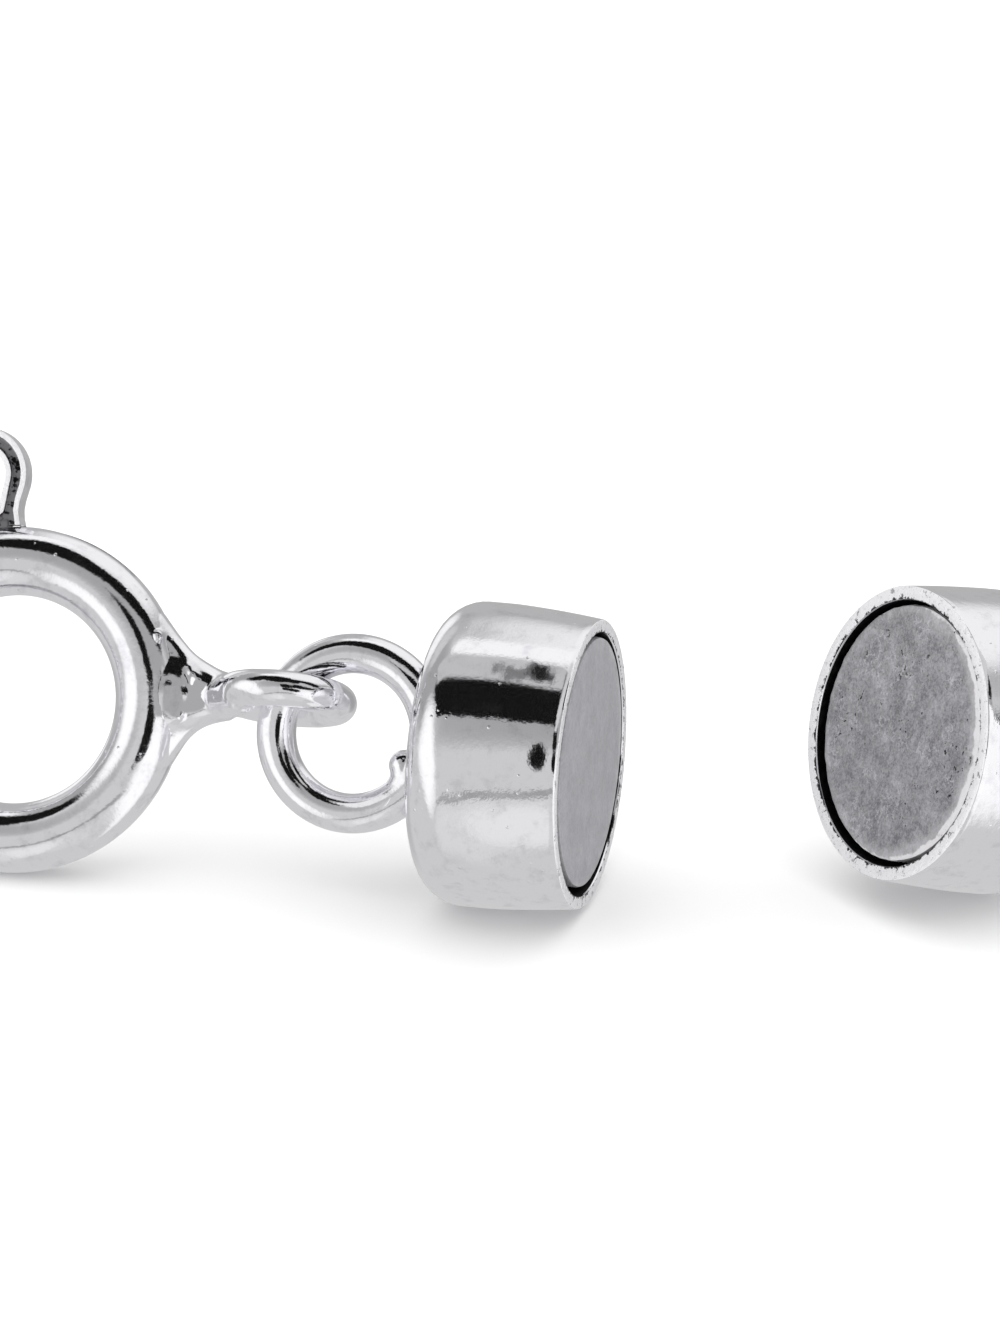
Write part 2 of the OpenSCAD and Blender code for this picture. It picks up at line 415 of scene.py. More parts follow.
magnetLook = {
    "lowTint": (1, 0.985, 1.05),
    "highTint": (1, 0.99, 1.04),
    "contrast": (0.40, 0.60),
    "mottle": (0.5, 5, 0.62),
    "fine": (0.05, 3, 0.75),
    "scratches": (0.13, 4, 0.7),
    "shares": (0.3, 0.3, 0.4),        # of mottle, scratches and fine grain in the shade
    "pitEdge": (0.60, 0.65),
    "pitPatches": (0.7, 2),
    "pitPatchEdge": (0.5, 0.62),
    "pitTone": (0.02, 0.02, 0.025, 1),
    "veins": (0.33, 4, 0.62),
    "veinWidth": 0.0006,
    "veinPatches": (0.8, 1),
    "veinPatchEdge": (0.46, 0.62),
    "veinTone": (0.72, 0.71, 0.75, 1),
    "veinStrength": 0.55,
    "wornFrom": (0, -0.12, 0.02),     # the worn rim lies about this point of the mouth
    "wornRagged": 0.35,
    # bands of the worn rim: where it starts and is full, strength and tone
    "wornBands": [((2.2, 2.56), 0.45, (0.75, 0.74, 0.76, 1)), ((2.5, 2.56), 0.9, (0.97, 0.96, 0.98, 1))],
    "metallic": 0.55,
    "roughness": (0.36, 0.2),         # and what the fine grain adds
    "heights": (2, 0.6, 0.5, 2),      # of mottle, fine grain and veins, and the depth of pits
    "depth": 0.007,
}


def makeMagnet(name, place, low, high, pitted):
    look = magnetLook
    finish = Finish(name)
    mottle = finish.noise(*look["mottle"])
    fine = finish.noise(*look["fine"])
    scratches = finish.noise(*look["scratches"])
    pitPatches = finish.smooth(finish.noise(*look["pitPatches"]), *look["pitPatchEdge"])
    pits = finish.smooth(scratches, *look["pitEdge"]) * pitPatches * pitted
    offMiddle = finish.noise(*look["veins"]) - 0.5
    veinPatches = finish.smooth(finish.noise(*look["veinPatches"]), *look["veinPatchEdge"])
    veins = finish.smooth(offMiddle * offMiddle, look["veinWidth"], 0) * veinPatches * pitted
    forMottle, forScratches, forFine = look["shares"]
    shade = finish.ramp(
        mottle * forMottle + scratches * forScratches + fine * forFine,
        (look["contrast"][0], tuple(low * tint for tint in look["lowTint"])),
        (look["contrast"][1], tuple(high * tint for tint in look["highTint"])))
    shade = finish.blend(veins * look["veinStrength"], shade, look["veinTone"])
    out = finish.distance(place @ shift(*look["wornFrom"])) + (mottle - 0.5) * (look["wornRagged"] * mm)
    for (start, full), strength, tone in look["wornBands"]:
        worn = finish.smooth(out, start * mm, full * mm) * pitted * strength
        shade = finish.blend(worn, shade, tone)
    finish.give("Base Color", finish.blend(pits, shade, look["pitTone"]))
    finish.give("Metallic", look["metallic"])
    finish.give("Roughness", look["roughness"][0] + fine * look["roughness"][1])
    forMottle, forFine, forVeins, forPits = look["heights"]
    finish.bump(mottle * forMottle + fine * forFine + veins * forVeins - pits * forPits, look["depth"])
    return finish.material


filedLook = {
    "tone": (0.96, 0.955, 0.975, 1),
    "nickTone": (0.35, 0.35, 0.37, 1),
    "scratch": (0.05, 4, 0.7),
    "lump": (0.16, 3, 0.6),
    "shares": (0.6, 0.4),         # of lumps and scratches in what is ragged
    "nickSoft": 0.1,
    "gapShadeTone": (0.02, 0.02, 0.02, 1),
    "gapShadeEdge": (0.02, 0.04),    # beyond the bore
    "gapShadeRagged": 0.5,
    "metallic": 0.5,
    "roughness": (0.2, 0.2),      # and what the scratches add
    "lumpHeight": 2,
    "depth": 0.014,
}


def makeFiled(name, worn, place=None, bore=0):  # a filed edge, with painted shade near the bore of a cup at a place
    look = filedLook
    finish = Finish(name)
    scratch = finish.noise(*look["scratch"])
    lump = finish.noise(*look["lump"])
    ragged = lump * look["shares"][0] + scratch * look["shares"][1]
    shade = finish.blend(finish.smooth(ragged, worn, worn + look["nickSoft"]), look["nickTone"], look["tone"])
    if place is not None:
        # painted shade: black with a ragged edge at the lip's inner edge, beside the gap
        out = finish.distance(place) + (ragged - 0.5) * (look["gapShadeRagged"] * mm)
        beyondGapShade = finish.smooth(out, *[(bore + edge) * mm for edge in look["gapShadeEdge"]])
        shade = finish.blend(beyondGapShade, look["gapShadeTone"], shade)
    finish.give("Base Color", shade)
    finish.give("Metallic", look["metallic"])
    finish.give("Roughness", look["roughness"][0] + scratch * look["roughness"][1])
    finish.bump(scratch + lump * look["lumpHeight"], look["depth"])
    return finish.material


recessLook = {"blotches": (0.14, 3, 0.6), "grain": (0.1, 2), "depth": 0.004,
              "lowTint": (1, 1, 1.05), "highTint": (1, 1, 1.04)}


def makeRecess(name, low, high, contrast, roughness):  # dark and dull metal in a recess: the trigger's groove, and painted shade in the cups' gaps and under the trigger's foot
    look = recessLook
    finish = Finish(name)
    finish.give("Base Color", finish.ramp(
        finish.noise(*look["blotches"]),
        (contrast[0], tuple(low * tint for tint in look["lowTint"])),
        (contrast[1], tuple(high * tint for tint in look["highTint"]))))
    finish.give("Metallic", 1)
    finish.give("Roughness", roughness)
    finish.bump(finish.noise(*look["grain"]), look["depth"])
    return finish.material


firstBore, facingBore = 2.63, 2.66

silver = makeSilver()
# dark finish for the trigger's groove, also used as painted shade under the trigger's foot
grooveAndPaintedShade = makeRecess("grooveAndPaintedShade", 0.01, 0.27, (0.40, 0.49), 0.3)
rimSilver = makeFiled("rimSilver", 0.26)
firstLip = makeFiled("firstLip", 0.36, firstPlace, firstBore)
facingLip = makeFiled("facingLip", 0.35, facingPlace, facingBore)
# painted shade, near black, for the gap and the inside of each cup behind its magnet
paintedGapShade = makeRecess("paintedGapShade", 0.005, 0.02, (0.4, 0.62), 0.6)
groundMagnet = makeMagnet("groundMagnet", firstPlace, 0.44, 0.60, 0.2)
pittedMagnet = makeMagnet("pittedMagnet", facingPlace, 0.20, 0.52, 1.0)
print("finishes made")


# The spring ring, flat about its own middle with its loop toward X

spring = {
    "radius": 2.8,        # middle of the tube
    "tube": 0.7,          # its radius outside
    "bore": 0.5,          # and inside
    "gateFrom": 112,      # degrees round the ring from the loop
    "gateAngle": 44,
    "endRound": 0.035,
    "loopAt": 5.605,
    "loopRadius": 1.065,
    "loopWire": 0.38,     # radius of its wire
    "loopTwist": 8,
    "loopDroop": 4,
    "slotFrom": 44.9,
    "slotAngle": 61.9,
    "slotHalf": 0.17,
    "slotReach": 0.6,     # in and out, about the outside of the tube
    "slotRound": 0.02,
    "slotSharp": 50,      # edges sharper than this are rounded
    # the web's outer strands: degrees round the ring, distance from its centre and wire radius there
    "webUpper": [(33, 2.80, 0.66), (26, 3.00, 0.60), (18.4, 3.29, 0.36), (10.6, 3.54, 0.34),
                 (5.8, 3.84, 0.38), (1.6, 4.2, 0.44), (0.8, 4.5, 0.44)],
    "webLower": [(-33, 2.80, 0.66), (-25.7, 2.93, 0.60), (-17.4, 3.20, 0.38), (-9.7, 3.37, 0.36),
                 (-3.6, 3.69, 0.40), (-0.4, 4.2, 0.44), (-0.2, 4.5, 0.44)],
    # strands that run on into the loop's two sides: x, y, distance to the side and wire radius
    "webEnds": [(3.8, 0.03, 0, 0.30), (4.1, 0.03, 0.06, 0.36), (4.4, 0.02, 0.26, 0.38),
                (4.7, 0.01, 0.54, 0.38), (4.95, 0, 0.82, 0.37)],
    "webStrands": 17,
    "webInWall": 0.08,    # depth by which the web runs into the tube's wall
    "webArc": (-60, 120),
    # drops of solder, each its middle and half sizes
    "beads": [((3.10, 0.06, 0), (0.78, 0.97, 0.63)), ((3.08, 1.22, 0.50), (0.13, 0.17, 0.10)),
              ((3.45, -0.40, 0.47), (0.16, 0.11, 0.09)), ((3.67, 0.64, 0.34), (0.08, 0.07, 0.08)),
              ((3.74, 0.50, 0.38), (0.09, 0.08, 0.09)), ((3.88, 0.39, 0.38), (0.08, 0.08, 0.09)),
              ((3.98, 0.28, 0.40), (0.07, 0.06, 0.08)), ((3.80, 0.28, 0.40), (0.06, 0.06, 0.07))],
    "pits": [((3.03, 1.27, 0.61), 0.04), ((3.47, -0.42, 0.57), 0.035)],
    "melt": (0.032, 60),  # voxel size and rounds of smoothing
}


def arcTube(name, radii, start, angle, steps, sides):  # a bent tube, or a bent rod for one radius
    nothingSelected()
    bpy.ops.mesh.primitive_circle_add(
        vertices=sides, radius=radii[0], fill_type="NGON" if len(radii) == 1 else "NOTHING",
        location=(spring["radius"], 0, 0), rotation=(math.pi / 2, 0, 0))
    piece = settle(named(name))
    openEdit(piece, "EDGE")
    bpy.ops.mesh.select_all(action="SELECT")
    if len(radii) > 1:
        bpy.ops.mesh.extrude_edges_move()
        share = radii[1] / radii[0]
        bpy.ops.transform.resize(value=(share, share, share), center_override=(spring["radius"], 0, 0))
    return spun(piece, start, angle, steps)


def spun(piece, start, angle, steps):  # sweeps a flat shape at X round the Z axis, from its start onward
    openEdit(piece, "EDGE")
    bpy.ops.mesh.select_all(action="SELECT")
    bpy.ops.mesh.spin(steps=steps, angle=math.radians(angle), center=(0, 0, 0), axis=(0, 0, 1))
    closeEdit()
    outward(piece)
    onward = sum(vertex.co.y for vertex in piece.data.vertices) > 0    # or else it was swept the other way
    piece.matrix_world = turn(start if onward else start + angle, "Z")
    return settle(piece)


def roundEnds(piece, width, segments):
    openEdit(piece, "EDGE")
    pick(piece, "EDGE", lambda edge: len(edge.link_faces) == 2 and edge.calc_face_angle(0) > 1)
    bpy.ops.mesh.bevel(offset=width, segments=segments, affect="EDGES")
    closeEdit()


def slottedTube():
    gateTo = spring["gateFrom"] + spring["gateAngle"]
    tube = arcTube("tube", (spring["tube"], spring["bore"]), gateTo, 360 - spring["gateAngle"],
                   steps=250, sides=72)
    roundEnds(tube, spring["endRound"], 3)
    nothingSelected()
    bpy.ops.mesh.primitive_plane_add(
        size=1, rotation=(math.pi / 2, 0, 0), location=(spring["radius"] + spring["tube"], 0, 0))
    slot = named("slot")
    slot.scale = (spring["slotReach"], 2 * spring["slotHalf"], 1)
    spun(settle(slot), spring["slotFrom"], spring["slotAngle"], steps=62)
    combine(tube, slot, "DIFFERENCE")
    modify(tube, "BEVEL", width=spring["slotRound"], segments=2, limit_method="ANGLE",
           angle_limit=math.radians(spring["slotSharp"]), use_clamp_overlap=False)
    return tube


def solder():  # the loop and the web of strands that holds it, melted together
    loopPlace = (shift(spring["loopAt"], 0, 0) @ turn(90 - spring["loopTwist"], "X")
                 @ turn(-spring["loopDroop"], "Y"))
    parts = [torus("loop", spring["loopRadius"], spring["loopWire"], loopPlace, sides=48, around=128)]
    for index in range(spring["webStrands"]):
        share = index / (spring["webStrands"] - 1)
        strand = []
        for upper, lower in zip(spring["webUpper"], spring["webLower"]):
            angle, distance, radius = [above + (below - above) * share for above, below in zip(upper, lower)]
            at = turn(angle, "Z") @ Vector((distance, 0, 0))
            strand.append((at.x, at.y, 0, radius))
        parts.append(branch("strand", strand))
    for side in (-1, 1):
        parts.append(branch("strand", [(x, y, side * z, radius) for x, y, z, radius in spring["webEnds"]]))
    parts += [ball("bead", centre, size) for centre, size in spring["beads"]]
    return fused(parts, "solder", *spring["melt"])


def buildSpringRing():
    tube = slottedTube()
    melted = solder()
    core = arcTube("core", (spring["tube"] - spring["webInWall"],), *spring["webArc"], steps=120, sides=48)
    combine(melted, core, "DIFFERENCE")
    for centre, radius in spring["pits"]:
        combine(melted, ball("pit", centre, (radius, radius, radius)), "DIFFERENCE")
    combine(tube, melted, "UNION")
    ring = joined([tube], "springRing")
    finishPiece(ring, springPlace, silver, "clasp", "spring_ring")


bolt = {"radius": 0.45, "from": 88.4, "angle": 71.1, "endRound": 0.16}


def buildBolt():
    rod = arcTube("boltWire", (bolt["radius"],), bolt["from"], bolt["angle"], steps=72, sides=40)
    roundEnds(rod, bolt["endRound"], 5)
    finishPiece(rod, springPlace, silver, "bolt", "bolt")


# The trigger, flat about the spring ring's middle with its head toward Y

trigger = {
    "at": 99.4,           # degrees round the ring from the loop
    "headAt": 4.61,
    "half": 0.24,         # half of the lug's thickness
    "grooveDepth": 0.1,
    "clear": 0.722,       # nearer the ring's middle than this the cut foot shows; there, and on the peg and the stem's lower part, shade is painted
    "footShadeLine": 3.51,     # below this the cut foot shows
    # flat outlines: the head's radius, where it ends above the neck, and the neck's points on one side
    "lug": (0.97, 0.5, [(0.75, -0.665), (0.69, -0.83), (0.67, -1.0), (0.68, -1.3)]),
    "groove": (0.85, 0.44, [(0.64, -0.62), (0.57, -0.83), (0.55, -1.4)]),
    "innerRim": (0.65, 0.3, [(0.42, -0.72), (0.37, -0.84), (0.22, -0.93)]),
    "keyhole": (0.53, 0.25, [(0.29, -0.69), (0.24, -0.77), (0.12, -0.81)]),
    "through": 1,         # half height of a cut that goes right through
    # where the groove's finish goes: out to a radius on the head, across the neck, and below the rims
    "rimInner": 0.885,
    "neckInner": 0.59,
    "neckFrom": 0.6,
    "rimShare": 0.035,
    "flatFacing": 0.6,    # faces turned this much to the front or back have the rims' finish
    "stem": (0.8, 0.33, 0.3),    # width, height and thickness
    "stemFrom": 0.47,     # above the middle of the tube
    "peg": (0.15, 0.5),   # radius and length
    "pegFrom": 0.02,
    "melt": (0.014, 4),
}


def lobe(name, outline, low, high):  # a round head on a neck, from one height to another
    radius, cutAt, sidePoints = outline
    nothingSelected()
    bpy.ops.mesh.primitive_circle_add(vertices=96, radius=radius, fill_type="NOTHING", location=(0, 0, low))
    piece = settle(named(name))
    openEdit(piece, "VERT")
    pick(piece, "VERT", lambda vertex: vertex.co.y < -cutAt)
    bpy.ops.mesh.delete(type="VERT")
    for side in (-1, 1):
        pick(piece, "VERT", lambda vertex: len(vertex.link_edges) == 1 and vertex.co.x * side > 0)
        end = next(vertex for vertex in bmesh.from_edit_mesh(piece.data).verts if vertex.select)
        x, y = end.co.x, end.co.y
        for toX, toY in sidePoints:
            move = (side * toX - x, toY - y, 0)
            bpy.ops.mesh.extrude_vertices_move(TRANSFORM_OT_translate={"value": move})
            x, y = side * toX, toY
    pick(piece, "VERT", lambda vertex: len(vertex.link_edges) == 1)
    bpy.ops.mesh.edge_face_add()
    bpy.ops.mesh.select_all(action="SELECT")
    bpy.ops.mesh.edge_face_add()
    bpy.ops.mesh.extrude_region_move(TRANSFORM_OT_translate={"value": (0, 0, high - low)})
    closeEdit()
    outward(piece)
    return piece


def triggerHead():
    half, through = trigger["half"], trigger["through"]
    head = lobe("triggerLug", trigger["lug"], -half, half)
    floor = half - trigger["grooveDepth"]
    for low, high in ((floor, through), (-through, -floor)):
        groove = lobe("groove", trigger["groove"], low, high)
        combine(groove, lobe("innerRim", trigger["innerRim"], -2 * through, 2 * through), "DIFFERENCE")
        combine(head, groove, "DIFFERENCE")
    combine(head, lobe("keyhole", trigger["keyhole"], -through, through), "DIFFERENCE")
    head.location = (0, trigger["headAt"], 0)
    settle(head)
    cutter = torus("cutter", spring["radius"], trigger["clear"], Matrix.Identity(4), sides=96, around=256)
    return combine(head, cutter, "DIFFERENCE")


def triggerStem():
    width, height, depth = trigger["stem"]
    nothingSelected()
    middle = spring["radius"] + trigger["stemFrom"] + height / 2
    bpy.ops.mesh.primitive_cube_add(size=1, location=(0, middle, 0))
    stem = named("stem")
    stem.scale = (width, height, depth)
    settle(stem)
    radius, length = trigger["peg"]
    nothingSelected()
    bpy.ops.mesh.primitive_cylinder_add(
        vertices=32, radius=radius, depth=length, rotation=(math.pi / 2, 0, 0),
        location=(0, spring["radius"] + length / 2 + trigger["pegFrom"], 0))
    return combine(stem, settle(named("peg")), "UNION")


def buildTrigger():
    lug = combine(triggerHead(), triggerStem(), "UNION")
    lug = fused([lug], "triggerLug", *trigger["melt"])
    place = springPlace @ turn(trigger["at"] - 90, "Z")
    finishPiece(lug, place, silver, "bolt", "trigger")

    # the groove, and the foot's underside, peg and lower stem, where shade is painted
    def grooveOrShadedFoot(at, normal):
        fromHead = math.hypot(at.x, at.y - trigger["headAt"])
        inNeck = at.y < trigger["headAt"] - trigger["neckFrom"] and abs(at.x) < trigger["neckInner"]
        below = abs(at.z) < trigger["half"] - trigger["rimShare"]
        inGroove = (fromHead < trigger["rimInner"] or inNeck) and below
        return inGroove or math.hypot(at.x, at.y) < trigger["footShadeLine"]

    paint(lug, rimSilver, place, lambda at, normal: abs(normal.z) > trigger["flatFacing"])
    # the groove's dark finish, and painted shade on the foot's underside, the peg and the stem's lower part
    paint(lug, grooveAndPaintedShade, place, grooveOrShadedFoot)


buildSpringRing()
buildBolt()
buildTrigger()


# The cups, each about the X axis with its mouth at X = 0

cup = {
    "length": 3.2,
    "radius": 3.05,
    "corner": 0.85,
    "cornerSteps": 10,
    "crimp": 1.9,         # length over which the wall is drawn in to the lip
    "crimpSteps": 24,
    "crimpPower": 1.5,
    "crimpEnd": -0.04,
    # the lip's rounded edges: x, and the step from the lip's or the bore's radius
    "lipEdge": [(-0.018, -0.008), (-0.005, -0.022), (0, -0.045)],
    "boreEdge": [(0, 0.05), (-0.012, 0.015), (-0.04, 0), (-0.5, 0)],
    "back": 0.28,         # thickness behind the magnet
    "backRings": (0.1, 0.9, 1.6),
    "floorRings": (1.2, 0.1),
    "wave": (1.3, 0.01),  # size and height of the slow waves in the metal
    "gapFrom": 0.03,      # the painted gap shade starts this far below the lip
    "gapShadeReach": 0.02,
    "lipDepth": 0.015,    # and the lip's ends here
    "ringRadius": 1.6,
    "ringWire": 0.4,
    "solderGap": 0.15,    # from the cup's back to the middle of the ring's wire
    "foot": ((1.66, 0, 0), (0.34, 0.62, 0.5)),
    # the ring's loose end: degrees round the ring from its foot, distance from its middle and wire radius
    "ringEnd": [(-55, 1.60, 0.38), (-46, 1.60, 0.385), (-39, 1.58, 0.385), (-31, 1.50, 0.37),
                (-24, 1.40, 0.34), (-19.3, 1.24, 0.31)],
    "crease": [(1.13, -1.08, 0.40, 0.01), (1.08, -1.2, 0.41, 0.03), (1.0, -1.3, 0.41, 0.035),
               (0.9, -1.4, 0.40, 0.02), (0.8, -1.46, 0.39, 0.01)],
    "ringPit": ((0.98, -0.68, 0.35), (0.06, 0.05, 0.05)),
    "melt": (0.028, 6),
}

cups = {
    "firstCup": {"place": firstPlace, "lip": 2.89, "bore": firstBore, "lipFinish": firstLip,
                 "ringTurn": -1.5, "ringLean": 20, "ringRise": 5.7, "seed": 0, "node": "ring_side_cup"},
    "facingCup": {"place": facingPlace, "lip": 2.94, "bore": facingBore, "lipFinish": facingLip,
                  "ringTurn": 0, "ringLean": 0, "ringRise": 0, "seed": 7, "node": "free_side_cup"},
}


def cupStations(lip, bore):  # x and radius, from the middle of the back round the wall and lip to the inside
    back, corner = -cup["length"], cup["corner"]
    flat = cup["radius"] - corner
    stations = [(back, radius) for radius in cup["backRings"]]
    for step in range(cup["cornerSteps"] + 1):
        angle = math.pi / 2 * step / cup["cornerSteps"]
        stations.append((back + corner * (1 - math.cos(angle)), flat + corner * math.sin(angle)))
    start = back + corner
    for step in range(1, cup["crimpSteps"] + 1):
        x = start + (cup["crimpEnd"] - start) * step / cup["crimpSteps"]
        drawn = max(0.0, (x + cup["crimp"]) / cup["crimp"]) ** cup["crimpPower"]
        stations.append((x, cup["radius"] - (cup["radius"] - lip) * drawn))
    inside = cup["back"] - cup["length"]
    stations += [(x, lip + step) for x, step in cup["lipEdge"]]
    stations += [(x, bore + step) for x, step in cup["boreEdge"]]
    stations += [(inside, radius) for radius in (bore, *cup["floorRings"])]
    return stations


def cupRing(own):  # soldered on at its foot, with its rounded end beside it
    ring = torus("ring", cup["ringRadius"], cup["ringWire"], Matrix.Identity(4), sides=56, around=192)
    end = []
    for angle, radius, wire in cup["ringEnd"]:
        at = turn(angle, "Z") @ Vector((radius, 0, 0))
        end.append((at.x, at.y, 0, wire))
    x, y, z, wire = end[-1]
    tip = ball("tip", (x, y, z), (wire, wire, wire))
    parts = [ring, ball("foot", *cup["foot"]), branch("ringEnd", end), tip]
    melted = fused(parts, "ring", *cup["melt"])
    combine(melted, branch("crease", cup["crease"]), "DIFFERENCE")
    combine(melted, ball("ringPit", *cup["ringPit"]), "DIFFERENCE")
    melted.matrix_world = (
        shift(-cup["length"] - cup["solderGap"], 0, 0) @ turn(own["ringTurn"], "Z")
        @ turn(90 - own["ringLean"], "X") @ turn(-own["ringRise"], "Z") @ shift(-cup["ringRadius"], 0, 0))
    return settle(melted)


def buildCup(name, own):
    place, bore = own["place"], own["bore"]
    shell = lathe(name, cupStations(own["lip"], bore), sides=256)
    waved(shell, *cup["wave"], own["seed"])
    combine(shell, cupRing(own), "UNION")
    finishPiece(shell, place, silver, "clasp", own["node"])
    inside = cup["back"] - cup["length"] - cup["gapShadeReach"]

    def inGap(at, normal):
        return inside < at.x < -cup["gapFrom"] and math.hypot(at.y, at.z) < bore + cup["gapShadeReach"]

    def onLip(at, normal):
        return at.x > -cup["lipDepth"] and math.hypot(at.y, at.z) > bore

    # painted shade on the cup's bore wall and inner floor, round the magnet
    paint(shell, paintedGapShade, place, inGap)
    # the lip's filed finish, with painted shade along its inner edge
    paint(shell, own["lipFinish"], place, onLip)


for cupName, cupValues in cups.items():
    buildCup(cupName, cupValues)


# The magnets, each in the frame of its cup's mouth

magnet = {"thickness": 2.8, "edge": 0.08, "edgeCut": 0.02, "waist": -1.4, "wave": 0.22, "rings": 40}

magnets = {
    "firstMagnet": {"place": firstPlace @ shift(0, 0.115, 0), "radius": 2.5, "recess": 0.03,
                    "finish": groundMagnet, "rough": 0.006, "seed": 3, "node": "ring_side_magnet"},
    "facingMagnet": {"place": facingPlace @ shift(0, 0.03, 0.02), "radius": 2.56, "recess": 0.1,
                     "finish": pittedMagnet, "rough": 0.03, "seed": 5, "node": "free_side_magnet"},
}


def buildMagnet(name, own):
    radius, edge, cut = own["radius"], magnet["edge"], magnet["edgeCut"]
    face, back = -own["recess"], -layout["recess"] - magnet["thickness"]
    rim = radius - edge
    stations = [(back, 0.1), (back, rim), (back + edge, radius), (magnet["waist"], radius),
                (face - edge, radius), (face - cut, radius - cut), (face, rim)]
    rings = magnet["rings"]
    stations += [(face, rim * (1 - step / rings)) for step in range(1, rings)]
    disc = lathe(name, stations, sides=160)
    waved(disc, magnet["wave"], own["rough"], own["seed"])
    finishPiece(disc, own["place"], own["finish"], "clasp", own["node"])


for magnetName, magnetValues in magnets.items():
    buildMagnet(magnetName, magnetValues)


# Floor, light and camera

studio = {
    "floor": 1.2,
    "floorTone": (0.9, 0.9, 0.9, 1),
    "floorRoughness": 0.9,
    "tent": 1.2,
    "tentSeen": 0.61,         # in reflections
    "lampPower": 0.35,
    "lampHeight": 0.3,
    "lampSize": 0.5,
    "cameraAim": (-0.2458, -0.3391, 4.76),
    "cameraRise": 20,
    "cameraDistance": 190,
    "pixelsPerMm": 50.25,     # at the aim, in the frame of 1000 by 1333 pixels
    "frameHeight": 1333,
    "sensor": 36,
    "stripHalf": 3,           # a panel less deep than this is a strip with an uneven edge
    "stripWobble": 12,
    "wobbleScale": 9,
}

# Soft panels in the light tent, in degrees from straight overhead, to the right and toward the viewer:
# middle, half sizes, turn, softness and brightness. A later panel hangs in front of an earlier one.
panels = [
    ((0, -72), (80, 36), 0, 0.25, 0.46),
    ((72, -45), (26, 50), 0, 0.3, 0.36),
    ((-52, -25), (22, 26), 0, 0.5, 0.36),
    ((18, 38), (52, 17), 0, 0.5, 0.37),
    ((26, -32), (24, 26), 0, 0.45, 0.90),
    ((-5, -21), (14, 7), 0, 0.4, 0.95),
    ((-36, -50), (14, 8), 0, 0.5, 0.60),
    ((-34, -78), (14, 12), 0, 0.5, 0.95),
    ((-72, 36), (17, 38), 0, 0.5, 1.05),
    ((68, 78), (36, 20), -10, 0.75, 1.05),
    ((6, 120), (40, 14), 0, 0.5, 0.66),
    ((-55, 112), (32, 13), 0, 0.7, 0.70),
    ((-38, 116), (15, 10), 0, 0.8, 0.80),
    ((-30, 1), (19, 13), 0, 0.2, 0.004),
    ((-8, 10.5), (18, 19), 22, 0.1, 0.004),
    ((24, 15.5), (30, 13), -3, 0.12, 0.004),
    ((0, 50), (10, 9), 0, 0.2, 0.004),
    ((3, 57), (13, 4), 0, 0.2, 0.004),
    ((11, 71), (17, 8), 5, 0.2, 0.004),
    ((2, 70), (9, 7), 22, 0.2, 0.004),
    ((76, 17), (9, 12), 0, 0.3, 0.02),
    ((-15, 92.5), (38, 2.2), 2, 0.6, 0.34),
]

# Small cards that show in reflections only, placed in the frame of the first cup's mouth:
# middle, size, tilt, turn, soft edge, brightness, how ragged the edge is, and whether it is round.
cards = {
    "paleCard": ((-2.2, -1.75, 3.95), (4.6, 1.3), 0, 0, 0.25, 0.52, 0, False),
    "endCard": ((0.5, -2.9, 3.97), (1.1, 4.4), 0, 0, 0.3, 0.62, 0, False),
    "darkCard": ((-2.26, -3.47, 3.96), (4.65, 2.2), 0, 2.5, 0.04, 0.004, 1.1, False),
    "trailCard": ((-1.15, -1.80, 3.945), (1.3, 0.85), 0, 0, 0.35, 0.2, 1.4, False),
    "smudgeCard": ((-0.7, -1.62, 3.94), (0.75, 0.95), 0, 0, 0.25, 0.01, 0.6, False),
    "ovalCard": ((-0.43, -4.2, 1.80), (0.44, 1.4), 90, 0, 0.06, 0.004, 0.12, True),
    "webCard": ((-8.332, -0.639, 0.90), (0.98, 1.04), 90, 15, 0.12, 0.40, 0.1, False),
    "ringCard": ((-4.919, -1.091, -0.25), (0.75, 0.8), 0, 15, 0.15, 0.85, 0.1, False),
    "upperCard": ((8.72, 0.41, 4.45), (2.8, 2.7), 0, 15, 0.3, 0.62, 0.2, False),
    "sideCard": ((13.508, -1.206, 2.55), (6.6, 6.8), 90, 15, 1.0, 1.0, 0.2, False),
}
cardGrain = (5, 2.2)          # ragged spots per millimetre along and across a card


def cardFinish(name, size, edge, glow, ragged, rounded):
    finish = bpy.data.materials.new(name)
    finish.use_nodes = True
    graph = Graph(finish.node_tree)
    graph.tree.nodes.remove(graph.tree.nodes["Principled BSDF"])
    place = graph.node("ShaderNodeTexCoord", output="Generated")
    grain = (size[0] * cardGrain[0], size[1] * cardGrain[1], 1)
    flat = graph.node("ShaderNodeVectorMath", {"operation": "MULTIPLY"}, {0: place, 1: grain}, "Vector")
    lumps = graph.node("ShaderNodeTexNoise", {}, {"Vector": flat, "Scale": 1, "Detail": 3, "Roughness": 0.6})
    rough = (lumps - 0.5) * ragged
    along, across = graph.parts(place)[:2]
    distances = [abs((along - 0.5) * 2), abs((across - 0.5) * 2)]
    if rounded:
        far = (distances[0] * distances[0] + distances[1] * distances[1]) ** 0.5
        share = graph.smooth((1 - far) * (size[0] / 2) + rough, 0, edge)
    else:
        share = 1
        for distance, length in zip(distances, size):
            share = graph.smooth((1 - distance) * (length / 2) + rough, 0, edge) * share
    glowing = graph.node("ShaderNodeEmission", {}, {"Color": (glow, glow, glow, 1)})
    clear = graph.node("ShaderNodeBsdfTransparent")
    mixed = graph.node("ShaderNodeMixShader", {}, {0: share, 1: clear, 2: glowing})
    graph.feed(graph.tree.nodes["Material Output"].inputs["Surface"], mixed)
    return finish


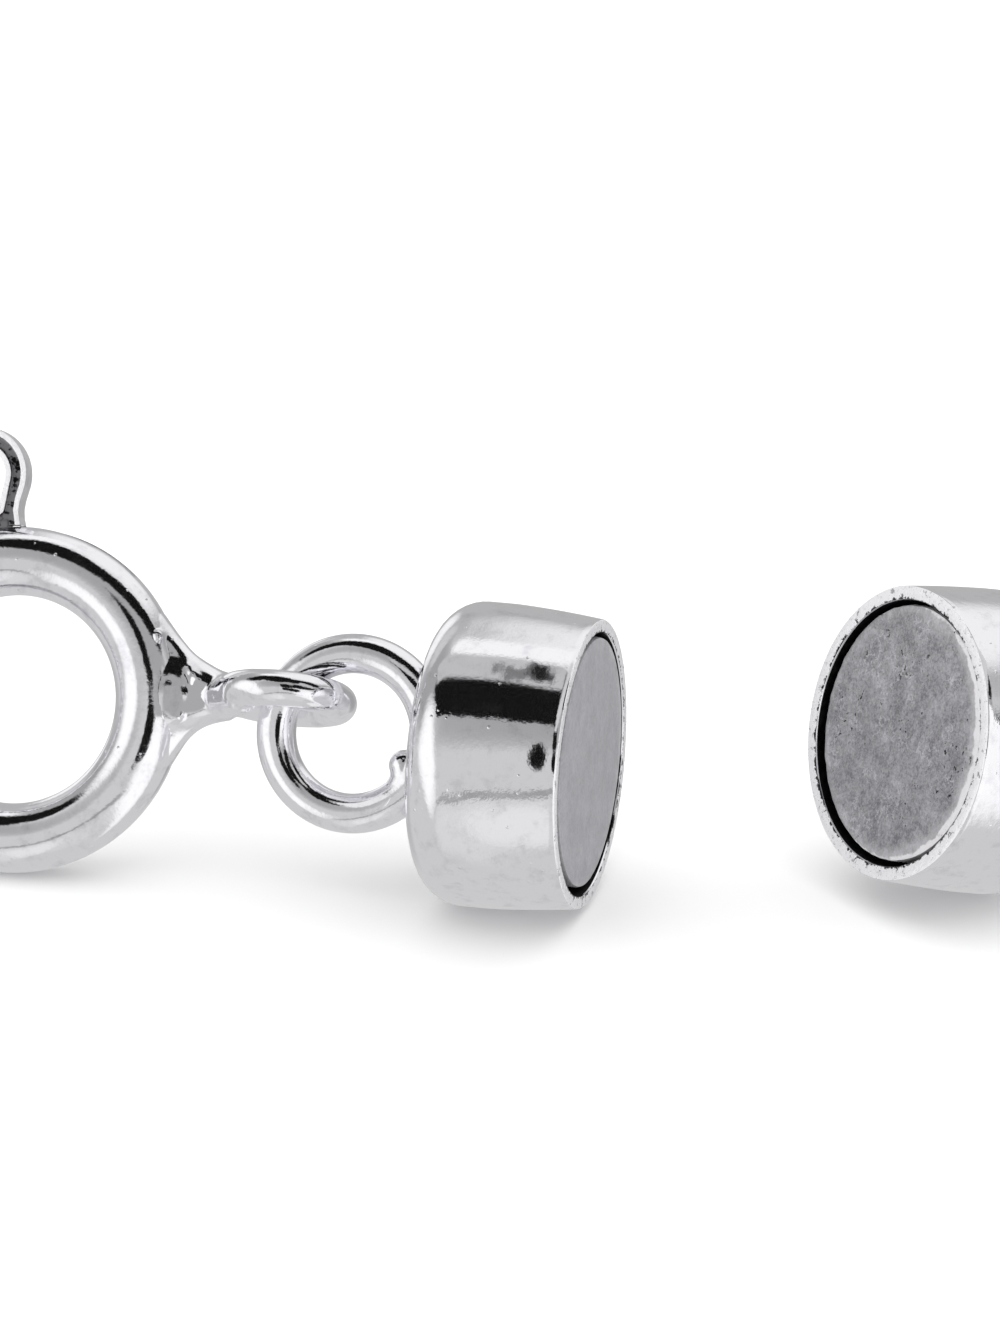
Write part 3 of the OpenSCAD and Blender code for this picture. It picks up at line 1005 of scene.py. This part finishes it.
def buildCard(name, centre, size, tilt, angle, edge, glow, ragged, rounded):
    nothingSelected()
    bpy.ops.mesh.primitive_plane_add(size=1)
    card = named(name)
    card.matrix_world = (inMetres(firstPlace) @ shift(*centre) @ turn(angle, "Z") @ turn(tilt, "X")
                         @ Matrix.Diagonal((*size, 1, 1)))
    card.data.materials.append(cardFinish(name, size, edge, glow, ragged, rounded))
    card.visible_camera = False
    card.visible_diffuse = False
    card.visible_shadow = False


def buildTent():  # the pale surroundings, with brighter and darker panels that show in reflections
    world = bpy.data.worlds.new("lightTent")
    bpy.context.scene.world = world
    world.use_nodes = True
    graph = Graph(world.node_tree)
    direction = graph.node("ShaderNodeTexCoord", output="Generated")
    x, y, z = graph.parts(direction)
    fallen = graph.node("ShaderNodeMath", {"operation": "ARCCOSINE"}, {0: z}) * math.degrees(1)
    level = (x * x + y * y + 1e-9) ** 0.5
    right = fallen * x * level ** -1
    near = 0 - fallen * y * level ** -1
    spot = graph.node("ShaderNodeCombineXYZ", {}, {0: right, 1: near, 2: 1})
    uneven = graph.node("ShaderNodeTexNoise", {}, {
        "Vector": direction, "Scale": studio["wobbleScale"], "Detail": 2})
    tent, seen = studio["tent"], studio["tentSeen"]
    colour = (seen, seen, seen, 1)
    for middle, (wide, deep), angle, soft, glow in panels:
        turned = Matrix.Rotation(math.radians(angle), 2)
        far = 0
        for row, half in ((Vector((1, 0)), wide), (Vector((0, 1)), deep)):
            along = turned @ row
            offset = -along.dot(Vector(middle))
            measured = graph.node("ShaderNodeVectorMath", {"operation": "DOT_PRODUCT"},
                                  {0: spot, 1: (along.x / half, along.y / half, offset / half)}, "Value")
            far = far + abs(measured) ** 3
        strip = deep < studio["stripHalf"]
        wobble = (uneven - 0.5) * (studio["stripWobble"] / deep if strip else 0)
        share = graph.smooth(far + wobble, (1 + soft) ** 3, (1 - soft) ** 3)
        colour = graph.blend(share, colour, (glow, glow, glow, 1))
    graph.feed(graph.tree.nodes["Background"].inputs["Color"], colour)
    plain = graph.node("ShaderNodeBackground", {}, {"Color": (tent, tent, tent, 1)})
    mirrored = graph.node("ShaderNodeLightPath", output="Is Glossy Ray")
    panelled = Wire(graph, graph.tree.nodes["Background"].outputs[0])
    graph.feed(graph.tree.nodes["World Output"].inputs["Surface"],
               graph.node("ShaderNodeMixShader", {}, {0: mirrored, 1: plain, 2: panelled}))


def buildFloor():
    nothingSelected()
    bpy.ops.mesh.primitive_plane_add(size=studio["floor"])
    floor = named("floor")
    finish = Finish("paleFloor")
    finish.give("Base Color", studio["floorTone"])
    finish.give("Roughness", studio["floorRoughness"])
    finish.give("Specular IOR Level", 0.0)
    floor.data.materials.append(finish.material)
    floor.visible_glossy = False


def buildLamp():
    bpy.ops.object.light_add(type="AREA", location=(0, 0, studio["lampHeight"]))
    lamp = bpy.context.object
    lamp.data.size = studio["lampSize"]
    lamp.data.energy = studio["lampPower"]
    lamp.visible_glossy = False


def buildCamera():
    rise = math.radians(studio["cameraRise"])
    away = Vector((0, -math.cos(rise), math.sin(rise))) * studio["cameraDistance"]
    bpy.ops.object.camera_add(
        location=(Vector(studio["cameraAim"]) + away) * mm, rotation=(math.pi / 2 - rise, 0, 0))
    camera = bpy.context.object
    camera.data.sensor_fit = "VERTICAL"
    camera.data.sensor_height = studio["sensor"]
    seen = studio["frameHeight"] / studio["pixelsPerMm"]
    camera.data.lens = studio["sensor"] * studio["cameraDistance"] / seen
    camera.data.clip_start = 0.001
    camera.data.clip_end = 10
    bpy.context.scene.camera = camera


buildFloor()
for cardName, cardValues in cards.items():
    buildCard(cardName, *cardValues)
buildTent()
buildLamp()
buildCamera()
bpy.context.scene.view_settings.view_transform = "Standard"
print("stage set")
